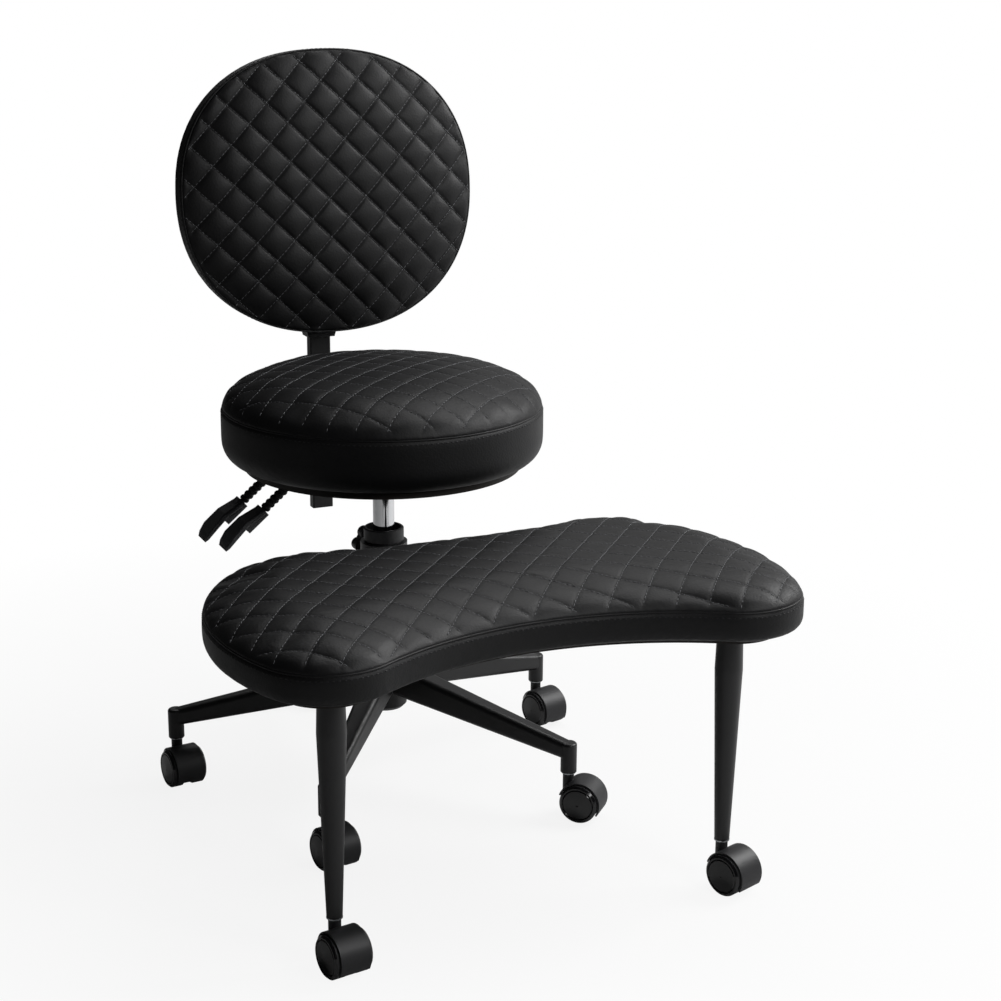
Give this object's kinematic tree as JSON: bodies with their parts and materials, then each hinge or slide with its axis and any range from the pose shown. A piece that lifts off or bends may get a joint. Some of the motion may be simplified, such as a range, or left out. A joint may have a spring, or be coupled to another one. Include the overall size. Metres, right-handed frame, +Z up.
{
  "type": "office chair with leg rest",
  "caption": "Round quilted seat and back on a gas lift with a caster base, and a wide bean-shaped leg rest on caster legs that swings round the column, for sitting cross-legged.",
  "frame": {"origin": "on the floor under the column axis", "axes": "+Z up, the sitter faces -Y, the levers are on -X, the sitter's right"},
  "size_m": [0.6982, 0.8539, 0.9557],
  "materials": {
    "black_pu_leather": "satin",
    "black_coated_steel": "satin",
    "chromed_steel": "polished",
    "ground_steel": "satin",
    "black_nylon": "matte",
    "black_gloss_nylon": "gloss",
    "plywood": "matte",
    "ribbed_rubber": "matte",
    "zinc_plated_steel": "satin"
  },
  "bodies": {
    "base": {"star_base": "black_coated_steel", "column_outer_tube": "black_coated_steel", "column_collar": "black_nylon", "column_guide_bush": "black_nylon", "thrust_bearing": "ground_steel"},
    "piston": {"piston_rod": "ground_steel"},
    "footrest": {"footrest_arm": "black_coated_steel", "footrest_board": "plywood", "footrest_cushion": "black_pu_leather", "footrest_leg_right": "black_coated_steel", "footrest_leg_left": "black_coated_steel", "footrest_bolts": "zinc_plated_steel"},
    "footrest_knob": {"footrest_knob": "black_nylon"},
    "seat": {"pressure_tube": "chromed_steel", "seat_mechanism": "black_coated_steel", "mechanism_pins": "zinc_plated_steel", "seat_board": "plywood", "seat_cushion": "black_pu_leather", "seat_bolts": "zinc_plated_steel"},
    "height_lever": {"height_lever_rod": "black_coated_steel", "height_lever_sleeve": "ribbed_rubber", "height_lever_paddle": "black_nylon"},
    "tilt_lever": {"tilt_lever_rod": "black_coated_steel", "tilt_lever_sleeve": "ribbed_rubber", "tilt_lever_paddle": "black_nylon"},
    "back_arm": {"back_arm": "black_coated_steel"},
    "back": {"back_post": "black_coated_steel", "back_post_cover": "black_nylon", "back_board": "plywood", "back_cushion": "black_pu_leather", "back_bolts": "zinc_plated_steel"},
    "back_knob": {"back_knob": "black_nylon"},
    "side_left_caster": {"side_left_caster_hood": "black_nylon", "side_left_caster_stem": "zinc_plated_steel"},
    "side_left_wheels": {"side_left_caster_wheels": "black_gloss_nylon", "side_left_caster_axle": "zinc_plated_steel"},
    "rear_caster": {"rear_caster_hood": "black_nylon", "rear_caster_stem": "zinc_plated_steel"},
    "rear_wheels": {"rear_caster_wheels": "black_gloss_nylon", "rear_caster_axle": "zinc_plated_steel"},
    "side_right_caster": {"side_right_caster_hood": "black_nylon", "side_right_caster_stem": "zinc_plated_steel"},
    "side_right_wheels": {"side_right_caster_wheels": "black_gloss_nylon", "side_right_caster_axle": "zinc_plated_steel"},
    "front_right_caster": {"front_right_caster_hood": "black_nylon", "front_right_caster_stem": "zinc_plated_steel"},
    "front_right_wheels": {"front_right_caster_wheels": "black_gloss_nylon", "front_right_caster_axle": "zinc_plated_steel"},
    "front_left_caster": {"front_left_caster_hood": "black_nylon", "front_left_caster_stem": "zinc_plated_steel"},
    "front_left_wheels": {"front_left_caster_wheels": "black_gloss_nylon", "front_left_caster_axle": "zinc_plated_steel"},
    "rest_right_caster": {"rest_right_caster_hood": "black_nylon", "rest_right_caster_stem": "zinc_plated_steel"},
    "rest_right_wheels": {"rest_right_caster_wheels": "black_gloss_nylon", "rest_right_caster_axle": "zinc_plated_steel"},
    "rest_left_caster": {"rest_left_caster_hood": "black_nylon", "rest_left_caster_stem": "zinc_plated_steel"},
    "rest_left_wheels": {"rest_left_caster_wheels": "black_gloss_nylon", "rest_left_caster_axle": "zinc_plated_steel"}
  },
  "joints": [
    {"name": "seat_swivel", "type": "hinge", "parent": "base", "child": "piston", "pos_m": [0, 0, 0], "axis": [0, 0, 1], "continuous": true},
    {"name": "gas_lift", "type": "slide", "parent": "piston", "child": "seat", "axis": [0, 0, 1], "range_m": [-0.025, 0.075]},
    {"name": "footrest_swing", "type": "hinge", "parent": "piston", "child": "footrest", "pos_m": [0, 0, 0.309], "axis": [0, 0, 1], "range_deg": [-25, 115]},
    {"name": "footrest_knob_turn", "type": "hinge", "parent": "footrest", "child": "footrest_knob", "pos_m": [0, 0.0383, 0.311], "axis": [0, 1, 0], "range_deg": [0, 270]},
    {"name": "height_lever_lift", "type": "hinge", "parent": "seat", "child": "height_lever", "pos_m": [-0.066, 0.02, 0.42], "axis": [0, 1, 0], "range_deg": [0, 8], "stiffness_Nm_per_rad": 1.5},
    {"name": "tilt_lever_lift", "type": "hinge", "parent": "seat", "child": "tilt_lever", "pos_m": [-0.066, 0.07, 0.42], "axis": [0, 1, 0], "range_deg": [0, 8], "stiffness_Nm_per_rad": 1.5},
    {"name": "back_tilt", "type": "hinge", "parent": "seat", "child": "back_arm", "pos_m": [0, 0.098, 0.414], "axis": [-1, 0, 0], "range_deg": [0, 15]},
    {"name": "back_height", "type": "slide", "parent": "back_arm", "child": "back", "axis": [0, 0, 1], "range_m": [0, 0.05]},
    {"name": "back_knob_turn", "type": "hinge", "parent": "back_arm", "child": "back_knob", "pos_m": [0, 0.2663, 0.414], "axis": [0, 1, 0], "range_deg": [0, 270]},
    {"name": "side_left_swivel", "type": "hinge", "parent": "base", "child": "side_left_caster", "pos_m": [0.26677, 0.08668, 0.0605], "axis": [0, 0, 1], "continuous": true},
    {"name": "side_left_roll", "type": "hinge", "parent": "side_left_caster", "child": "side_left_wheels", "pos_m": [0.27178, 0.06732, 0.025], "axis": [0.9681, 0.2504, 0], "continuous": true},
    {"name": "rear_swivel", "type": "hinge", "parent": "base", "child": "rear_caster", "pos_m": [0, 0.2805, 0.0605], "axis": [0, 0, 1], "continuous": true},
    {"name": "rear_roll", "type": "hinge", "parent": "rear_caster", "child": "rear_wheels", "pos_m": [0.01, 0.26318, 0.025], "axis": [0.866, 0.5, 0], "continuous": true},
    {"name": "side_right_swivel", "type": "hinge", "parent": "base", "child": "side_right_caster", "pos_m": [-0.26677, 0.08668, 0.0605], "axis": [0, 0, 1], "continuous": true},
    {"name": "side_right_roll", "type": "hinge", "parent": "side_right_caster", "child": "side_right_wheels", "pos_m": [-0.26433, 0.06683, 0.025], "axis": [0.9925, 0.1219, 0], "continuous": true},
    {"name": "front_right_swivel", "type": "hinge", "parent": "base", "child": "front_right_caster", "pos_m": [-0.16487, -0.22693, 0.0605], "axis": [0, 0, 1], "continuous": true},
    {"name": "front_right_roll", "type": "hinge", "parent": "front_right_caster", "child": "front_right_wheels", "pos_m": [-0.1614, -0.24663, 0.025], "axis": [0.9848, 0.1736, 0], "continuous": true},
    {"name": "front_left_swivel", "type": "hinge", "parent": "base", "child": "front_left_caster", "pos_m": [0.16487, -0.22693, 0.0605], "axis": [0, 0, 1], "continuous": true},
    {"name": "front_left_roll", "type": "hinge", "parent": "front_left_caster", "child": "front_left_wheels", "pos_m": [0.17914, -0.24095, 0.025], "axis": [0.7009, 0.7133, 0], "continuous": true},
    {"name": "rest_right_swivel", "type": "hinge", "parent": "footrest", "child": "rest_right_caster", "pos_m": [-0.245, -0.478, 0.0605], "axis": [0, 0, 1], "continuous": true},
    {"name": "rest_right_roll", "type": "hinge", "parent": "rest_right_caster", "child": "rest_right_wheels", "pos_m": [-0.2417, -0.49773, 0.025], "axis": [0.9863, 0.165, 0], "continuous": true},
    {"name": "rest_left_swivel", "type": "hinge", "parent": "footrest", "child": "rest_left_caster", "pos_m": [0.245, -0.478, 0.0605], "axis": [0, 0, 1], "continuous": true},
    {"name": "rest_left_roll", "type": "hinge", "parent": "rest_left_caster", "child": "rest_left_wheels", "pos_m": [0.25184, -0.49679, 0.025], "axis": [0.9397, 0.342, 0], "continuous": true}
  ]
}
